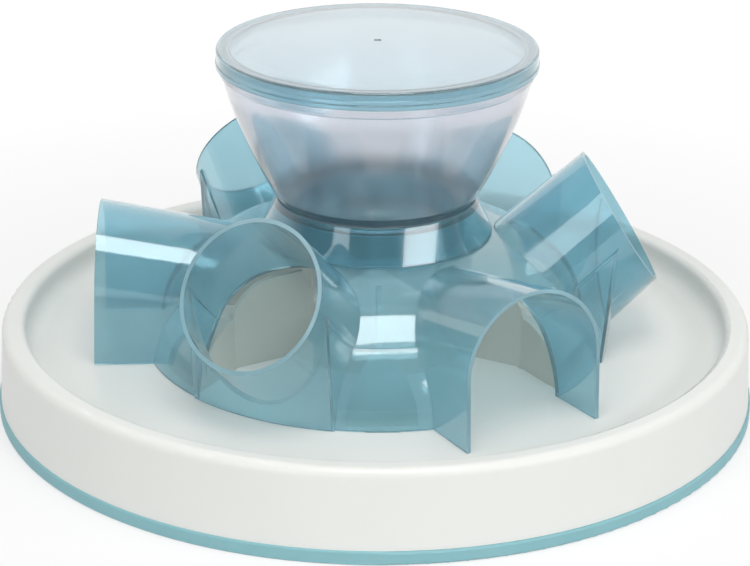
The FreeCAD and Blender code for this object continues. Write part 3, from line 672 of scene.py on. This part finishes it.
for face in lid.data.polygons:
    radius = math.hypot(face.center.x, face.center.y)
    in_skirt = radius > SKIRT_BEYOND and face.center.z < SKIRT_BELOW
    face.material_index = 1 if in_skirt else 0
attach(lid, "lid")
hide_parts("bowl_lid")


# Floor: the plain white surface that the feeder stands on. The camera sees it as pure white apart from the
# soft shadow under the feeder.
GROUND_RADIUS = 8.0
MATT_WHITE = (0.86, 0.86, 0.86, 1.0)
PURE_WHITE = (1.0, 1.0, 1.0, 1.0)
GLOW = 1.02
GLOW_SHARE_NEAR = 0.6
NEAR = 0.2
FAR = 0.55


def is_seen(finish):
    """1 where the camera looks at the room, straight or in or through clear plastic, and otherwise 0."""
    seen = finish.node("ShaderNodeLightPath", output="Is Camera Ray")
    for kind in ("Is Glossy Ray", "Is Transmission Ray"):
        seen = seen.maths("MAXIMUM", seen, finish.node("ShaderNodeLightPath", output=kind))
    scattered = finish.node("ShaderNodeLightPath", output="Diffuse Depth")
    return seen * seen.maths("LESS_THAN", scattered, 0.5)


def floor_white():
    """Matt white that shows a shadow near the feeder. Farther off, the camera sees it as pure white."""
    finish = new_finish("floor")
    matt = finish.node("ShaderNodeBsdfDiffuse", inputs={"Color": MATT_WHITE})
    bright = finish.node("ShaderNodeEmission", inputs={"Color": PURE_WHITE, "Strength": GLOW})
    place = finish.node("ShaderNodeTexCoord", output="Object")
    distance = finish.node("ShaderNodeVectorMath", {"operation": "LENGTH"}, {0: place}, output="Value")
    share = finish.node("ShaderNodeMapRange", inputs={
        "Value": distance, "From Min": NEAR, "From Max": FAR, "To Min": GLOW_SHARE_NEAR, "To Max": 1.0})
    return finish.close(finish.node("ShaderNodeMixShader", inputs={
        0: is_seen(finish) * share, 1: matt, 2: bright}))


bpy.ops.object.select_all(action="DESELECT")
bpy.ops.mesh.primitive_circle_add(vertices=128, radius=GROUND_RADIUS, fill_type="NGON", location=(0, 0, 0))
floor = bpy.context.object
floor.name = "floor"
dress(floor, floor_white())


# Studio light: a square softbox high over the front, a long low one at each side, and a room that is white
# behind the feeder and dim in front of it. Its soft light is weaker where it comes through the clear plastic.
CENTRE = Vector((0, 0, 80 * MM))
VIEW_TURN = math.radians(1.2)


def softbox(name, side, height, distance, wide, tall, power, roll=0):
    """An area light that faces the middle of the feeder, at two angles in degrees: to the right of the
    camera, and up. Its roll is its turn about that line."""
    heading = math.radians(side - 90) - VIEW_TURN
    rise = math.radians(height)
    flat = math.cos(rise)
    direction = Vector((flat * math.cos(heading), flat * math.sin(heading), math.sin(rise)))
    light = bpy.data.lights.new(name, "AREA")
    light.shape = "RECTANGLE"
    light.size = wide
    light.size_y = tall
    light.energy = power
    lamp = bpy.data.objects.new(name, light)
    bpy.context.collection.objects.link(lamp)
    facing = direction.to_track_quat("Z", "Y").to_matrix()
    facing = facing @ Matrix.Rotation(math.radians(roll), 3, "Z")
    lamp.matrix_world = Matrix.Translation(CENTRE + direction * distance) @ facing.to_4x4()


softbox("front_softbox", side=7, height=68, distance=1.4, wide=0.66, tall=0.66, power=9.2)
softbox("right_softbox", side=50, height=27, distance=1.8, wide=1.6, tall=0.22, power=7.8)
softbox("left_softbox", side=-39, height=28, distance=1.8, wide=1.44, tall=0.35, power=4.4, roll=-34)

SOFT_LIGHT = 0.445
SHELTERED_LOSS = 0.36
ROOM_DIM = 0.14
DIM_BEFORE = -0.1
WHITE_BEYOND = 0.35


def studio():
    """The soft light on the feeder, the room that its gloss and clear walls show, and the camera's white."""
    finish = Finish(bpy.data.worlds.new("studio"))
    direction = finish.node("ShaderNodeTexCoord", output="Generated")
    backwards = finish.node("ShaderNodeSeparateXYZ", inputs={0: direction}, output="Y")
    level = finish.node("ShaderNodeMapRange", inputs={
        "Value": backwards,
        "From Min": DIM_BEFORE,
        "From Max": WHITE_BEYOND,
        "To Min": ROOM_DIM,
        "To Max": 1.0,
    })
    depth = finish.node("ShaderNodeLightPath", output="Transmission Depth")
    sheltered = depth.maths("GREATER_THAN", depth, 0.5)
    soft = finish.node("ShaderNodeBackground", inputs={
        "Color": PURE_WHITE, "Strength": SOFT_LIGHT - sheltered * SHELTERED_LOSS})
    room = finish.node("ShaderNodeBackground", inputs={"Color": PURE_WHITE, "Strength": level})
    white = finish.node("ShaderNodeBackground", inputs={"Color": PURE_WHITE, "Strength": 1.0})
    camera = finish.node("ShaderNodeLightPath", output="Is Camera Ray")
    beyond = finish.node("ShaderNodeMixShader", inputs={0: is_seen(finish), 1: soft, 2: room})
    whole = finish.node("ShaderNodeMixShader", inputs={0: camera, 1: beyond, 2: white})
    return finish.close(whole, kind="ShaderNodeOutputWorld")


bpy.context.scene.world = studio()
bpy.context.scene.view_settings.view_transform = "Standard"


# Camera: the photograph's own place and angle, solved from the circles of the tray, the collar and the lid.
PHOTO_WIDTH = 750
FOCAL_PIXELS = 2368.2
SENSOR = 36.0
CAMERA_PLACE = (-12.85 * MM, -1135.45 * MM, 515.52 * MM)
PITCH = math.radians(21.91)
YAW = math.radians(0.63)
ROLL = math.radians(0.44)
camera_data = bpy.data.cameras.new("camera")
camera_data.sensor_width = SENSOR
camera_data.lens = FOCAL_PIXELS * SENSOR / PHOTO_WIDTH
camera_data.clip_end = 50.0
camera = bpy.data.objects.new("camera", camera_data)
bpy.context.collection.objects.link(camera)
bpy.context.scene.camera = camera
camera.matrix_world = (
    Matrix.Rotation(-VIEW_TURN, 4, "Z")
    @ Matrix.Translation(CAMERA_PLACE)
    @ Matrix.Rotation(-YAW, 4, "Z")
    @ Matrix.Rotation(math.pi / 2 - PITCH, 4, "X")
    @ Matrix.Rotation(ROLL, 4, "Z"))
